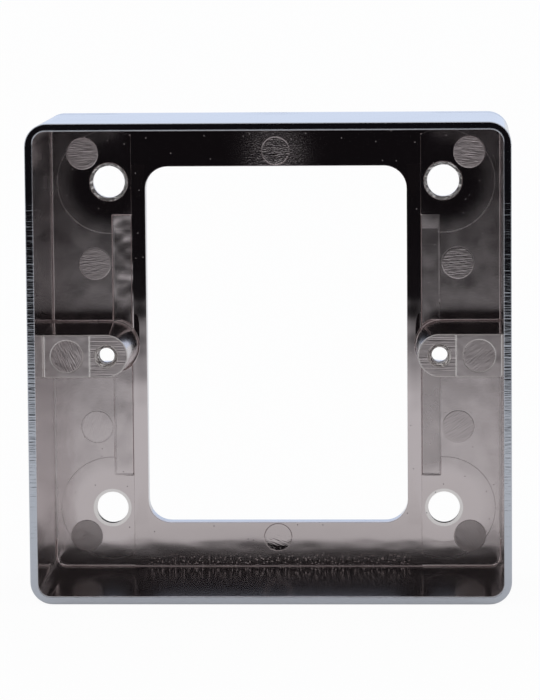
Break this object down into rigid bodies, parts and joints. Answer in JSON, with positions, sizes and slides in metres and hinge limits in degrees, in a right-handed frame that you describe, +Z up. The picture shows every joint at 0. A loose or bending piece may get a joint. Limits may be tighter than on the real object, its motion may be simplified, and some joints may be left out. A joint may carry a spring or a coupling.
{
  "type": "switch box",
  "caption": "Square chrome-plated die-cast switch box, open at the front, with a window and screw holes in its base and lugs for the accessory screws.",
  "frame": {"origin": "centre of the box's footprint, on the underside of its bottom wall", "axes": "+Z up along the wall that the box hangs on, +Y into that wall, +X to the right as seen from the open side"},
  "size_m": [0.086, 0.035, 0.086],
  "materials": {
    "chrome_casting": "bright chrome plating over a zinc die casting, with a ground rim"
  },
  "bodies": {
    "root": {"switch_box": "chrome_casting"}
  },
  "joints": []
}
